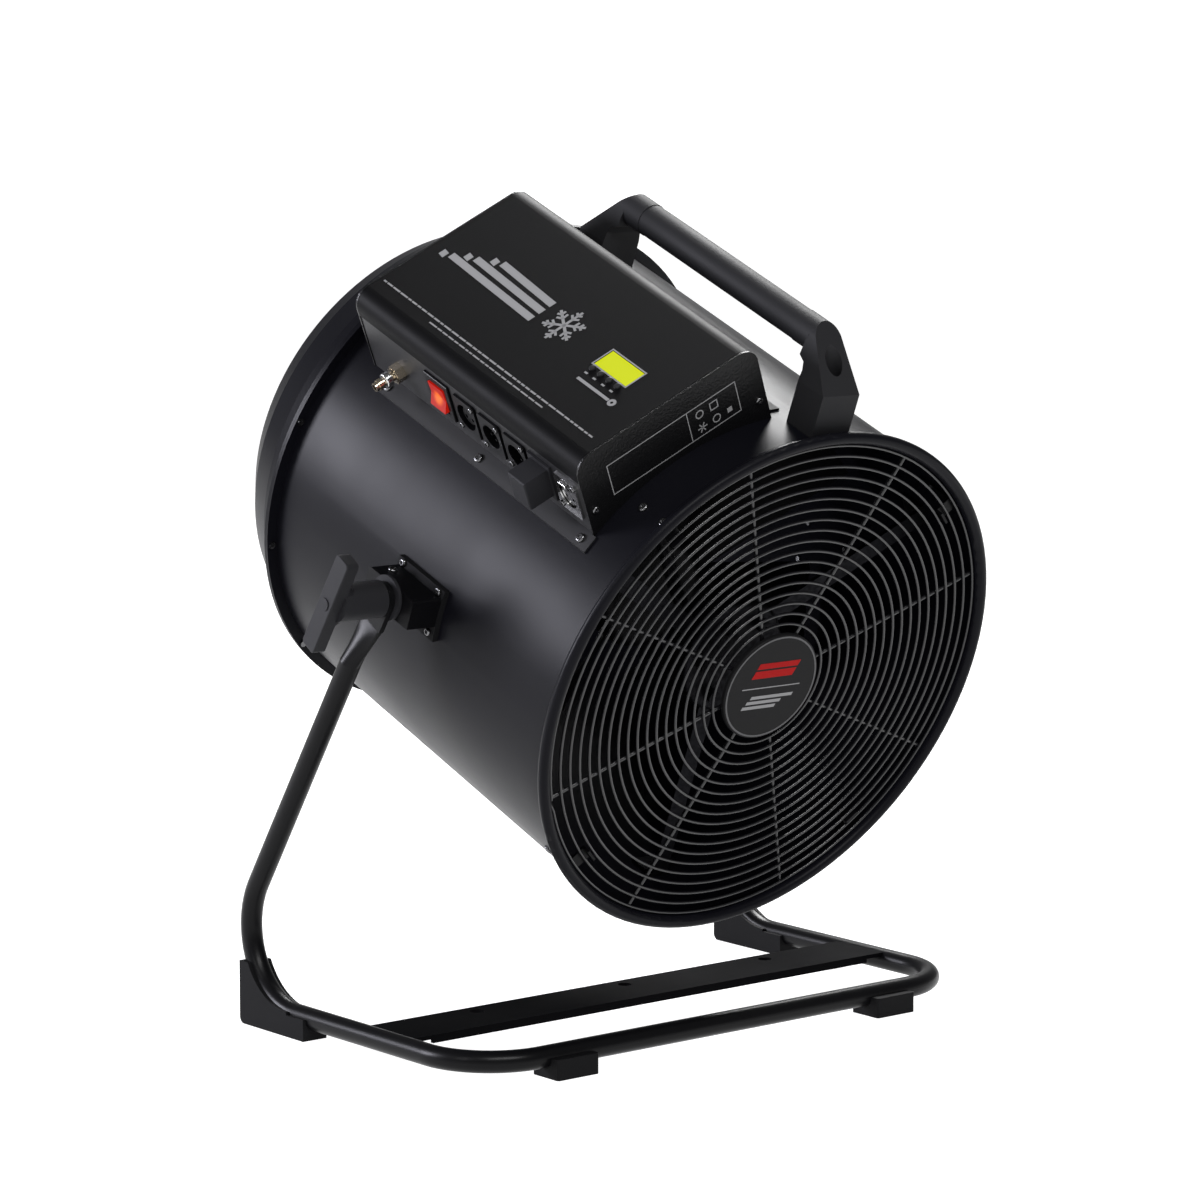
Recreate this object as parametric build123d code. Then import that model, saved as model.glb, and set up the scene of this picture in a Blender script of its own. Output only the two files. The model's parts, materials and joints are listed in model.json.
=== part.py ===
"""Fan-driven snow effect machine on a tilting floor stand, millimetres.

World frame: +X is the side away from the connectors, the air outlet faces -Y
and dips below level, +Z is up, and z = 0 is the floor. The stand's middle plane
is x = 0. The files are moved forward by ORIGIN_Y, which puts their origin under
the middle of the whole machine.

Barrel frame: the same axes before the barrel is tilted, with the origin where
the barrel's axis meets the plane of its front rim, and Y counted rearwards.
Box frame: the barrel frame turned about the barrel's axis, so that +Z is
straight out through the control box's lid.
"""
import math
import os

from build123d import *

os.makedirs("parts", exist_ok=True)

ORIGIN_Y = 6.6                # middle of the whole machine, front to back

# ---------------------------------------------------------------- stand
TUBE_R = 8.0
TUBE_WALL = 1.5
TUBE_Z = 15.0                 # height of the base runs' centre line
STAND_HALF = 230.7            # side tubes' centre line, from the middle plane
FRONT_RUN_Y = -138.5
CORNER_R = 55.0               # front corners, in plan
BEND_R = 58.0                 # rear bends, seen from the side
BEND_Y = 75.0                 # centre of the rear bends
TAB_X = 226.0                 # middle of the flattened tube ends
TAB_THICK = 4.0
TAB_HALF_W = 12.2
TAB_LENGTH = 22.0             # from the pivot to the crease
FLATTEN_LENGTH = 36.0         # from the crease to the round tube

STRAP_REAR_Y = -7.5
STRAP_WIDTH = 52.0
STRAP_TOP = 21.5
STRAP_THICK = 3.0
STRAP_LIP = 6.0
HANG_HOLE_Y = -20.0
HANG_HOLE_R = 5.25
HANG_HOLE_PITCH = 139.0

FRONT_FOOT_X = 152.0
FRONT_FOOT = (37.5, 29.0, 15.0)
REAR_FOOT_W = 21.0
REAR_FOOT_Y = (54.0, 134.0)
REAR_FOOT_TOP = 47.0
REAR_FOOT_SCREW_Y = 64.0
FOOT_SCREW_R = 2.0
FOOT_SCREW_HEAD_R = 4.0

# ---------------------------------------------------------------- pivot
PIVOT_Y = -25.0
PIVOT_Z = 332.0
TILT = 21.8                   # outlet below level, degrees
PIVOT_STATION = 172.0         # behind the front rim
PIVOT_RISE = 3.0              # above the barrel's axis
STUD_R = 5.0
RUN_GAP = 0.05                # radial running clearance
FACE_GAP = 0.3                # between faces that turn on each other
WASHER_R = 11.0
DISC_R = 16.5
GRIP_LENGTH = 79.0
GRIP_WIDTH = 15.5
GRIP_X = (266.0, 276.0)
GRIP_STEM_R = 13.5

# ---------------------------------------------------------------- barrel
SHELL_R = 192.2
SHELL_WALL = 1.5
RIM_BEAD_R = 4.3
RIM_R = 200.0
FLANGE_Y = 353.0
FLANGE_R = 200.4
COWL_END_Y = 425.0
COWL_END_R = 164.0
BORE_R = SHELL_R - SHELL_WALL

GRILLE_Y = 6.0
WIRE_R = 1.1
SPOKE_R = 1.5
RING_COUNT = 18
RING_OUTER_R = 189.0
RING_PITCH = 8.27
BADGE_R = 42.0

# ---------------------------------------------------------------- control box
BOX_ANGLE = 31.3              # lid's direction from the top, towards -X
BOX_HALF = 78.0
BOX_TOP = 243.4
BOX_Y = (50.0, 322.0)
BOX_CORNER_R = 14.0
SHEET = 1.5
PANEL_TOP = 224.0
FLANGE_REACH = 12.0
SOCKET_Z = 202.0
SOCKET_PITCH = 30.5
SOCKET_FIRST_Y = 70.0
SWITCH_Y = 225.5
COUPLER_Y = 280.0
COUPLER_Z = 194.0
NIPPLE_R = 3.5

# ---------------------------------------------------------------- handle
BAR_R = 12.5
BAR_Z = 252.0
BAR_Y = (68.0, 246.0)
POST_HALF = 17.0
POST_FRONT_Y = 14.0
POST_REAR_Y = 42.0
POST_CREASE_Z = 223.5
ELBOW_Y = 50.0                # where the post becomes the round elbow
HANDLE_SCREW_Y = 30.5
HANDLE_SCREW_SEAT = 206.0
HANDLE_SCREW_R = 2.5
RECESS_R = 7.3


# ---------------------------------------------------------------- helpers
WORLD = Location()
BARREL = (
    Pos(0, PIVOT_Y, PIVOT_Z) * Rot(TILT, 0, 0) * Pos(0, -PIVOT_STATION, -PIVOT_RISE)
)
BOX = BARREL * Rot(0, -BOX_ANGLE, 0)
NODES = {}


def keep(name, shape, frame=WORLD):
    """Store a sub-part, moved from its own frame to the file's."""
    NODES[name] = Pos(0, -ORIGIN_Y, 0) * frame * shape


def keep_group(name, shapes, frame=WORLD):
    """Store separate solids that share one node."""
    solids = [solid for shape in shapes for solid in shape.solids()]
    keep(name, Compound(children=solids), frame)


def block(x, y, z):
    """Box between pairs of limits."""
    size = (x[1] - x[0], y[1] - y[0], z[1] - z[0])
    return Pos((x[0] + x[1]) / 2, (y[0] + y[1]) / 2, (z[0] + z[1]) / 2) * Box(*size)


def rod_y(radius, start, end, x=0.0, z=0.0):
    return Pos(x, (start + end) / 2, z) * Rot(90, 0, 0) * Cylinder(radius, end - start)


def rod_x(radius, start, end, y=0.0, z=0.0):
    return Pos((start + end) / 2, y, z) * Rot(0, 90, 0) * Cylinder(radius, end - start)


def rod_z(radius, start, end, x=0.0, y=0.0):
    return Pos(x, y, (start + end) / 2) * Cylinder(radius, end - start)


def pipe_y(outer, inner, start, end, x=0.0, z=0.0):
    return rod_y(outer, start, end, x, z) - rod_y(inner, start - 1, end + 1, x, z)


def spun(points):
    """Turn a closed outline of (radius, y) points about the barrel's axis."""
    outline = Polyline(*[(r, y, 0) for r, y in points], close=True)
    return revolve(make_face(outline), axis=Axis.Y)


def mirrored(shape):
    return mirror(shape, about=Plane.YZ)


def polar(radius, degrees):
    """x and z at an angle from the top, towards -X."""
    a = math.radians(degrees)
    return -radius * math.sin(a), radius * math.cos(a)


def radial(degrees, shape):
    """Swing a shape made at the top of the barrel round to an angle."""
    return Rot(0, -degrees, 0) * shape


def screw_x(x, y, z, direction, head_r=3.4, head=2.0, shank_r=1.9, shank=8.0):
    """Domed socket screw with its seat at x, its head towards the direction."""
    body = rod_x(shank_r, min(x, x - direction * shank), max(x, x - direction * shank), y, z)
    cap = rod_x(head_r, min(x, x + direction * head), max(x, x + direction * head), y, z)
    socket = Pos(x + direction * head, y, z) * Rot(0, 90, 0) * Cylinder(head_r * 0.5, head)
    return body + fillet(cap.edges().group_by(Axis.X)[-1 if direction > 0 else 0], head * 0.6) - socket


def screw_z(x, y, z, head_r=3.4, head=2.0, shank_r=1.9, shank=8.0):
    """Domed socket screw with its seat at z and its head on top."""
    body = rod_z(shank_r, z - shank, z, x, y)
    cap = rod_z(head_r, z, z + head, x, y)
    socket = rod_z(head_r * 0.5, z + head * 0.5, z + head * 1.5, x, y)
    return body + fillet(cap.edges().group_by(Axis.Z)[-1], head * 0.6) - socket


# ---------------------------------------------------------------- stand tubes
def arm_geometry():
    """Lean of the arm and the points where its straight stretch starts and ends."""
    dy, dz = PIVOT_Y - BEND_Y, PIVOT_Z - (TUBE_Z + BEND_R)
    lean = math.atan2(dz, dy) - math.acos(BEND_R / math.hypot(dy, dz))
    normal = (math.cos(lean), math.sin(lean))
    start = (BEND_Y + BEND_R * normal[0], TUBE_Z + BEND_R + BEND_R * normal[1])
    up = (-normal[1], normal[0])
    back = TAB_LENGTH + FLATTEN_LENGTH
    end = (PIVOT_Y - up[0] * back, PIVOT_Z - up[1] * back)
    return lean, start, end, up


def side_path():
    lean, start, end, _ = arm_geometry()
    x = -STAND_HALF
    half = (lean - math.pi / 2) / 2
    middle = (
        BEND_Y + BEND_R * math.sin(-half),
        TUBE_Z + BEND_R - BEND_R * math.cos(half),
    )
    run = Line((x, FRONT_RUN_Y + CORNER_R, TUBE_Z), (x, BEND_Y, TUBE_Z))
    bend = ThreePointArc((x, BEND_Y, TUBE_Z), (x, *middle), (x, *start))
    arm = Line((x, *start), (x, *end))
    return Wire([run.edge(), bend.edge(), arm.edge()])


def front_path():
    k = CORNER_R * (1 - math.sqrt(0.5))
    y0 = FRONT_RUN_Y + CORNER_R
    x1 = STAND_HALF - CORNER_R
    left = ThreePointArc(
        (-STAND_HALF, y0, TUBE_Z), (-STAND_HALF + k, FRONT_RUN_Y + k, TUBE_Z), (-x1, FRONT_RUN_Y, TUBE_Z)
    )
    run = Line((-x1, FRONT_RUN_Y, TUBE_Z), (x1, FRONT_RUN_Y, TUBE_Z))
    right = ThreePointArc(
        (x1, FRONT_RUN_Y, TUBE_Z), (STAND_HALF - k, FRONT_RUN_Y + k, TUBE_Z), (STAND_HALF, y0, TUBE_Z)
    )
    return Wire([left.edge(), run.edge(), right.edge()])


def swept(path, radius):
    start = Plane(origin=path @ 0, z_dir=path % 0)
    return sweep(start * Circle(radius), path=path)


def side_tube():
    """Left base run, rear bend and arm, with the flattened pivot end."""
    path = side_path()
    outer = swept(path, TUBE_R)
    bore = swept(path, TUBE_R - TUBE_WALL)
    lean, _, end, up = arm_geometry()
    arm_dir = (0, up[0], up[1])
    round_end = Plane(origin=(-STAND_HALF, *end), x_dir=(1, 0, 0), z_dir=arm_dir)
    crease = (PIVOT_Y - up[0] * TAB_LENGTH, PIVOT_Z - up[1] * TAB_LENGTH)
    flat_end = Plane(origin=(-TAB_X, *crease), x_dir=(1, 0, 0), z_dir=arm_dir)
    squeeze = loft(
        [
            round_end * Circle(TUBE_R),
            flat_end * RectangleRounded(TAB_THICK, 2 * TAB_HALF_W, TAB_THICK * 0.45),
        ]
    )
    flat = Plane(origin=(-TAB_X, PIVOT_Y, PIVOT_Z), x_dir=(0, -up[0], -up[1]), z_dir=(1, 0, 0))
    outline = Circle(TAB_HALF_W) + Pos(TAB_LENGTH / 2, 0) * Rectangle(TAB_LENGTH, 2 * TAB_HALF_W)
    tab = extrude(flat * outline, amount=TAB_THICK / 2, both=True)
    hole = rod_x(STUD_R + RUN_GAP, -TAB_X - 5, -TAB_X + 5, PIVOT_Y, PIVOT_Z)
    foot_hole = rod_z(FOOT_SCREW_R, 0, TUBE_Z, -STAND_HALF, REAR_FOOT_SCREW_Y)
    return (outer - bore) + squeeze + tab - hole - foot_hole


def front_tube():
    path = front_path()
    tube = swept(path, TUBE_R) - swept(path, TUBE_R - TUBE_WALL)
    for x in (-FRONT_FOOT_X, FRONT_FOOT_X):
        tube -= rod_z(FOOT_SCREW_R, 0, TUBE_Z, x, FRONT_RUN_Y)
    return tube


def cross_strap():
    y = (STRAP_REAR_Y - STRAP_WIDTH, STRAP_REAR_Y)
    z = (STRAP_TOP - STRAP_THICK, STRAP_TOP)
    strap = block((-STAND_HALF, STAND_HALF), y, z)
    inner = STAND_HALF - TUBE_R - 14
    strap += block((-inner, inner), (y[0], y[0] + STRAP_THICK), (STRAP_TOP - STRAP_LIP, STRAP_TOP))
    for x in (-STAND_HALF, STAND_HALF):
        strap -= rod_y(TUBE_R, y[0] - 5, y[1] + 5, x, TUBE_Z)
    for k in (-1, 0, 1):
        strap -= rod_z(HANG_HOLE_R, z[0] - 20, z[1] + 5, k * HANG_HOLE_PITCH, HANG_HOLE_Y)
    return max(strap.solids(), key=lambda s: s.volume)


def screw_seat(x, y):
    """Hole for a foot's screw, with room for its head."""
    return rod_z(FOOT_SCREW_R + 0.1, -1, TUBE_Z, x, y) + rod_z(FOOT_SCREW_HEAD_R + 0.3, -1, 4, x, y)


def front_foot(side):
    w, d, h = FRONT_FOOT
    x = side * FRONT_FOOT_X
    y = FRONT_RUN_Y - 0.8
    foot = block((x - w / 2, x + w / 2), (y - d / 2, y + d / 2), (0, h))
    foot = chamfer(foot.edges().filter_by(Axis.Z), 1.5)
    foot -= rod_x(TUBE_R, x - w, x + w, FRONT_RUN_Y, TUBE_Z)
    return foot - screw_seat(x, FRONT_RUN_Y)


def rear_foot():
    """Left foot: a boot that cups the outside of the rear bend."""
    x = (-STAND_HALF - REAR_FOOT_W / 2, -STAND_HALF + REAR_FOOT_W / 2)
    foot = block(x, REAR_FOOT_Y, (0, REAR_FOOT_TOP))
    foot = fillet(foot.edges().filter_by(Axis.X).group_by(Axis.Z)[0].sort_by(Axis.Y)[-1], 5)
    foot -= rod_x(BEND_R - 3, x[0] - 1, x[1] + 1, BEND_Y, TUBE_Z + BEND_R)
    foot -= block((x[0] - 1, x[1] + 1), (REAR_FOOT_Y[0] - 1, BEND_Y), (TUBE_Z + 1, REAR_FOOT_TOP + 1))
    foot -= swept(side_path(), TUBE_R)
    foot -= screw_seat(-STAND_HALF, REAR_FOOT_SCREW_Y)
    return max(foot.solids(), key=lambda s: s.volume)


def foot_screw(x, y):
    head = rod_z(FOOT_SCREW_HEAD_R, 1.6, 4, x, y) - rod_z(1.6, 0, 2.8, x, y)
    return head + rod_z(FOOT_SCREW_R, 4, TUBE_Z - TUBE_R + 4, x, y)


def build_stand():
    side = side_tube()
    keep("stand_tube_left", side)
    keep("stand_tube_right", mirrored(side))
    keep("stand_tube_front", front_tube())
    keep("cross_strap", cross_strap())
    keep("front_foot_left", front_foot(-1))
    keep("front_foot_right", front_foot(1))
    keep("rear_foot_left", rear_foot())
    keep("rear_foot_right", mirrored(rear_foot()))
    places = [(s * FRONT_FOOT_X, FRONT_RUN_Y) for s in (-1, 1)]
    places += [(s * STAND_HALF, REAR_FOOT_SCREW_Y) for s in (-1, 1)]
    keep_group("foot_screws", [foot_screw(*p) for p in places])


# ---------------------------------------------------------------- pivot hardware
PAD_X = SHELL_R + 4.5
PAD_HALF = (28.5, 20.0)
BRACKET_HALF = 28.0
BRACKET_Z = (-8.0, 14.0)
PAD_SCREW_R = 1.9
BRACKET_X = (PAD_X - 3.0, TAB_X - TAB_THICK / 2 - FACE_GAP - 2.5)


def pad_screw_places(side):
    """Angles round the barrel and stations of one pad's four screws."""
    places = []
    for dy in (-22, 22):
        for z in (-15, 17):
            angle = 90 - math.degrees(math.asin(z / PAD_X))
            places.append((-side * angle, PIVOT_STATION + dy))
    return places


def in_barrel_pad():
    return rod_y(PAD_X, PIVOT_STATION - 60, PIVOT_STATION + 60)


def bracket_pad(side):
    """Curved pad between the bracket and the barrel."""
    y = (PIVOT_STATION - PAD_HALF[0], PIVOT_STATION + PAD_HALF[0])
    pad = pipe_y(PAD_X, SHELL_R + 0.1, *y)
    reach = (PAD_X - 30, PAD_X + 1)
    pad &= block(reach if side > 0 else (-reach[1], -reach[0]), y, (-PAD_HALF[1], PAD_HALF[1]))
    for angle, station in pad_screw_places(side):
        pad -= radial(angle, rod_z(PAD_SCREW_R, 150, 220, 0, station))
    return pad


def pivot_bracket(side):
    """Channel bracket, open underneath, that carries the pivot stud."""
    x = BRACKET_X
    y = (PIVOT_STATION - BRACKET_HALF, PIVOT_STATION + BRACKET_HALF)
    body = block(x, y, BRACKET_Z)
    body = fillet(body.edges().filter_by(Axis.X).group_by(Axis.Z)[-1], 3)
    hollow = block((x[0] - 1, x[1] - 5), (y[0] + 4, y[1] - 4), (BRACKET_Z[0] - 1, BRACKET_Z[1] - 4))
    boss = rod_x(8.5, x[0], x[1], PIVOT_STATION, PIVOT_RISE) & block(x, y, BRACKET_Z)
    body = body - hollow + boss
    body -= rod_x(STUD_R, x[0] - 5, x[1] + 5, PIVOT_STATION, PIVOT_RISE)
    body -= rod_z(2.0, 0, 30, (x[0] + x[1]) / 2, PIVOT_STATION + 18)
    body -= in_barrel_pad()
    body = max(body.solids(), key=lambda s: s.volume)
    return body if side > 0 else mirrored(body)


def pivot_stud(side):
    stud = rod_x(STUD_R, SHELL_R + 6, GRIP_X[0] - 6, PIVOT_STATION, PIVOT_RISE)
    return stud if side > 0 else mirrored(stud)


def lock_washer(side):
    """Toothed washer between the flattened tube end and the handle."""
    x0 = TAB_X + TAB_THICK / 2 + FACE_GAP
    washer = rod_x(WASHER_R, x0, x0 + 1.2, PIVOT_STATION, PIVOT_RISE)
    for k in range(24):
        a = math.radians(k * 15)
        y, z = PIVOT_STATION + WASHER_R * math.cos(a), PIVOT_RISE + WASHER_R * math.sin(a)
        washer -= rod_x(0.75, x0 - 1, x0 + 3, y, z)
    washer -= rod_x(STUD_R + 0.15, x0 - 1, x0 + 3, PIVOT_STATION, PIVOT_RISE)
    return washer if side > 0 else mirrored(washer)


def friction_disc(side):
    x1 = TAB_X - TAB_THICK / 2 - FACE_GAP
    disc = rod_x(DISC_R, BRACKET_X[1], x1, PIVOT_STATION, PIVOT_RISE)
    disc -= rod_x(STUD_R + 0.15, BRACKET_X[1] - 1, x1 + 1, PIVOT_STATION, PIVOT_RISE)
    return disc if side > 0 else mirrored(disc)


def lock_handle(side):
    """Moulded T grip on a round stem, with a blind bore over the stud."""
    x0 = TAB_X + TAB_THICK / 2 + FACE_GAP + 1.2 + FACE_GAP
    stem = rod_x(GRIP_STEM_R, x0, GRIP_X[0] + 1, 0, 0)
    grip = block(GRIP_X, (-GRIP_WIDTH / 2, GRIP_WIDTH / 2), (-GRIP_LENGTH / 2, GRIP_LENGTH / 2))
    grip = fillet(grip.edges().filter_by(Axis.X), 3)
    grip = fillet(grip.edges().group_by(Axis.X)[-1], 1)
    root = GRIP_STEM_R - 1
    neck = loft(
        [
            Plane(origin=(GRIP_X[0] - 9, 0, 0), x_dir=(0, 1, 0), z_dir=(1, 0, 0)) * Circle(root),
            Plane(origin=(GRIP_X[0] + 1, 0, 0), x_dir=(0, 1, 0), z_dir=(1, 0, 0))
            * RectangleRounded(GRIP_WIDTH - 1, 3.2 * root, 5),
        ]
    )
    body = stem + neck + grip
    body -= rod_x(STUD_R + RUN_GAP, x0 - 1, GRIP_X[0] - 5.5, 0, 0)
    body += rod_x(4.6, GRIP_X[1], GRIP_X[1] + 0.8, 0, 0)
    arm_lean = math.degrees(arm_geometry()[0])
    body = Pos(0, PIVOT_STATION, PIVOT_RISE) * Rot(arm_lean - TILT, 0, 0) * body
    return body if side > 0 else mirrored(body)


def bracket_screws():
    screws = []
    for side in (-1, 1):
        for angle, station in pad_screw_places(side):
            screw = screw_z(0, station, PAD_X, head_r=2.9, shank_r=PAD_SCREW_R, shank=7.0)
            screws.append(radial(angle, screw))
        x = side * (BRACKET_X[0] + BRACKET_X[1]) / 2
        screws.append(screw_z(x, PIVOT_STATION + 18, BRACKET_Z[1], shank=3.5))
    return screws


def build_pivots():
    for side, name in ((-1, "left"), (1, "right")):
        keep("pivot_bracket_" + name, pivot_bracket(side), BARREL)
        keep("lock_handle_" + name, lock_handle(side), BARREL)
    for name, maker in (
        ("bracket_pads", bracket_pad),
        ("pivot_studs", pivot_stud),
        ("lock_washers", lock_washer),
        ("friction_discs", friction_disc),
    ):
        keep_group(name, [maker(-1), maker(1)], BARREL)
    keep_group("bracket_screws", bracket_screws(), BARREL)


# ---------------------------------------------------------------- barrel
HOSE_HOLE_R = 9.0
HOSE_STATION = 106.0
HOSE_R = 5.0
HOSE_BEND_R = 34.0
SHELL_SCREW_ANGLES = (44.5, 134.5, 224.5, 314.5)
SHELL_SCREW_Y = (12.0, 35.0)
VENT_STATIONS = (206.0, 230.0, 264.0)
VENT_ANGLE = 141.0
RIVET_COUNT = 12


def barrel_shell():
    shell = pipe_y(SHELL_R, BORE_R, RIM_BEAD_R, FLANGE_Y)
    bead = Rot(90, 0, 0) * Torus(RIM_R - RIM_BEAD_R, RIM_BEAD_R)
    shell += Pos(0, RIM_BEAD_R, 0) * bead
    shell += pipe_y(FLANGE_R, BORE_R, FLANGE_Y - 2, FLANGE_Y)
    hose = rod_z(HOSE_HOLE_R, 150, 220, 0, HOSE_STATION)
    shell -= radial(BOX_ANGLE, hose)
    for a in SHELL_SCREW_ANGLES:
        for y in SHELL_SCREW_Y:
            shell -= radial(a, rod_z(1.9, 150, 220, 0, y))
    for side in (-1, 1):
        for y in VENT_STATIONS:
            slot = block((-9, 9), (y - 2, y + 2), (150, 220))
            shell -= radial(side * VENT_ANGLE, slot)
        for angle, station in pad_screw_places(side):
            shell -= radial(angle, rod_z(PAD_SCREW_R, 150, 220, 0, station))
    for x, y in FLANGE_SCREW_PLACES:
        shell -= radial(BOX_ANGLE, flange_hole(x, y))
    for y in handle_screw_stations():
        shell -= rod_z(HANDLE_SCREW_R, 150, 220, 0, y)
    return shell


def rear_cowl():
    """Spun intake cowl that tapers and rounds in behind the flange."""
    y0 = FLANGE_Y + 0.1
    outer = [(SHELL_R + 0.0, y0 + 2), (188, y0 + 22), (179.5, y0 + 48), (COWL_END_R, COWL_END_Y)]
    inner = [(COWL_END_R - 2, COWL_END_Y), (177.5, y0 + 48), (186, y0 + 22), (BORE_R - 0.5, y0)]
    cowl = spun([(FLANGE_R, y0), (FLANGE_R, y0 + 2)] + outer + inner)
    return cowl


def rear_guard():
    y = COWL_END_Y - 6
    guard = pipe_y(COWL_END_R - 2.05, COWL_END_R - 5.6, y - 2, COWL_END_Y)
    guard += rod_y(30, y + 0.4, y + 3.0)
    for k in range(6):
        guard += radial(60 * k, rod_z(1.5, 20, COWL_END_R - 4, 0, y + 1.6))
    for k in range(9):
        guard += Pos(0, y - 0.4, 0) * Rot(90, 0, 0) * Torus(42 + 12.6 * k, 1.3)
    return guard


def front_grille():
    """Welded wire guard: rings in front, eight spokes behind them."""
    y = GRILLE_Y
    guard = rod_y(BADGE_R - 6, y + 0.5, y + 2.5)
    for k in range(8):
        spoke = rod_z(SPOKE_R, 20, RING_OUTER_R, 0, y + WIRE_R + SPOKE_R - 0.5)
        guard += radial(22.5 + 45 * k, spoke)
    for k in range(RING_COUNT):
        ring = Torus(RING_OUTER_R - k * RING_PITCH, WIRE_R)
        guard += Pos(0, y, 0) * Rot(90, 0, 0) * ring
    guard -= rod_y(2.0, y - 5, y + 10)
    return guard


def grille_badge():
    disc = rod_y(BADGE_R, GRILLE_Y - 4.5, GRILLE_Y - 1.2)
    disc = fillet(disc.edges().group_by(Axis.Y)[0], 1.5)
    disc += rod_y(6, GRILLE_Y - 1.2, GRILLE_Y + 0.5) + rod_y(1.9, GRILLE_Y, GRILLE_Y + 6)
    return disc


def grille_clip(degrees):
    """Folded clip: a tongue over the outer ring and a foot on the barrel's wall."""
    r = BORE_R
    foot = block((-5.5, 5.5), (GRILLE_Y + 4, GRILLE_Y + 34), (r - 1.9, r - 0.1))
    tongue = block((-5.5, 5.5), (GRILLE_Y + 3.0, GRILLE_Y + 4.8), (RING_OUTER_R - 14, r - 0.1))
    hook = block((-5.5, 5.5), (GRILLE_Y - 3, GRILLE_Y + 4), (RING_OUTER_R - 14, RING_OUTER_R - 12.2))
    clip = foot + tongue + hook
    for y in SHELL_SCREW_Y:
        clip -= rod_z(1.9, r - 10, r + 10, 0, y)
    return radial(degrees, clip)


def barrel_screws():
    screws = []
    for a in SHELL_SCREW_ANGLES:
        for y, shank in zip(SHELL_SCREW_Y, (3.5, 5.5)):
            screws.append(radial(a, screw_z(0, y, SHELL_R, shank=shank)))
    return screws


def rivet_places():
    radius = (SHELL_R + FLANGE_R) / 2 + 0.3
    return [polar(radius, 15 + 360 / RIVET_COUNT * k) for k in range(RIVET_COUNT)]


def flange_rivets():
    rivets = []
    for x, z in rivet_places():
        front, rear = FLANGE_Y - 2.0, FLANGE_Y + 2.1
        rivet = rod_y(1.6, front, rear, x, z)
        rivet += rod_y(2.6, front - 1.2, front, x, z)
        rivet += rod_y(2.6, rear, rear + 1.2, x, z)
        rivets.append(rivet)
    return rivets


def cut_rivet_holes(shape):
    for x, z in rivet_places():
        shape -= rod_y(1.6, FLANGE_Y - 5, FLANGE_Y + 2.2, x, z)
    return shape


def build_barrel():
    keep("barrel_shell", cut_rivet_holes(barrel_shell()), BARREL)
    keep("rear_cowl", cut_rivet_holes(rear_cowl()), BARREL)
    keep("rear_guard", rear_guard(), BARREL)
    keep("front_grille", front_grille(), BARREL)
    keep("grille_badge", grille_badge(), BARREL)
    keep_group("grille_clips", [grille_clip(a) for a in SHELL_SCREW_ANGLES], BARREL)
    keep_group("barrel_screws", barrel_screws(), BARREL)
    keep_group("flange_rivets", flange_rivets(), BARREL)


# ---------------------------------------------------------------- fan and nozzles
MOTOR_R = 52.0
MOTOR_Y = (205.0, 300.0)
SHAFT_R = 6.0
FAN_Y = (140.0, 180.0)
HUB_R = 46.0
BLADE_R = 182.0
BLADE_COUNT = 7
NOZZLE_Y = (44.0, 72.0)
NOZZLE_R = 44.0


def fan_motor():
    y0, y1 = MOTOR_Y
    motor = rod_y(MOTOR_R, y0, y1)
    motor = fillet(motor.edges().group_by(Axis.Y)[0] + motor.edges().group_by(Axis.Y)[-1], 6)
    for k in range(16):
        x, z = polar(MOTOR_R + 0.5, k * 22.5 + 11.25)
        motor -= rod_y(3.0, y0 + 16, y1 - 16, x, z)
    motor += rod_y(16, y0 - 8, y0 + 1)
    motor -= rod_y(SHAFT_R + RUN_GAP, y0 - 9, y0 + 60)
    return motor


def motor_mount():
    """Three-legged mount with a clamp ring round the motor."""
    y0, y1 = MOTOR_Y[0] + 30, MOTOR_Y[0] + 66
    mount = pipe_y(MOTOR_R + 4, MOTOR_R, y0, y1)
    for a in (0, 120, 240):
        leg = block((-2, 2), (y0, y1), (MOTOR_R + 2, BORE_R - 1.6))
        foot = block((-14, 14), (y0, y1), (BORE_R - 3.6, BORE_R - 0.55))
        mount += radial(a + 180, leg + foot)
    return mount


BLADE_SECTIONS = ((HUB_R - 3, 42.0, 3.8, 48.0), (BLADE_R, 76.0, 2.4, 64.0))


def fan_blade(degrees):
    """Twisted blade between sections of (height, chord, thickness, pitch)."""
    faces = []
    for height, chord, thick, pitch in BLADE_SECTIONS:
        edge, flat, half = chord / 2, chord / 4, thick / 2
        outline = Polyline(
            (-edge, 0), (-flat, -half), (flat, -half), (edge, 0), (flat, half), (-flat, half), close=True
        )
        plane = Plane(origin=(0, 160, height), x_dir=(0, 1, 0), z_dir=(0, 0, 1))
        faces.append(plane * Rot(0, 0, pitch) * make_face(outline))
    return radial(degrees, loft(faces, ruled=True))


def fan_rotor():
    hub = rod_y(HUB_R, *FAN_Y)
    hub = fillet(hub.edges().group_by(Axis.Y)[0], 10)
    rotor = hub + rod_y(SHAFT_R, FAN_Y[1] - 1, MOTOR_Y[0] + 50)
    for k in range(BLADE_COUNT):
        rotor += fan_blade(k * 360 / BLADE_COUNT)
    return rotor


def nozzle_ring():
    """Spray head: a drum on three struts with six nozzle tips round it."""
    y0, y1 = NOZZLE_Y
    drum = rod_y(NOZZLE_R, y0, y1)
    drum = fillet(drum.edges().group_by(Axis.Y)[0], 5)
    drum -= rod_y(NOZZLE_R - 5, y0 + 5, y1 + 1)
    for k in range(6):
        x, z = polar(NOZZLE_R - 13, 30 + 60 * k)
        drum += rod_y(5, y0 - 7, y0 + 1, x, z) - rod_y(1.2, y0 - 8, y0 + 2, x, z)
    for a in (60, 180, 300):
        strut = block((-7, 7), (y1 - 14, y1 - 11), (NOZZLE_R - 1, BORE_R - 1.6))
        foot = block((-9, 9), (y1 - 14, y1 + 8), (BORE_R - 3.4, BORE_R - 0.25))
        drum += radial(a, strut + foot)
    return drum


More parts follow.
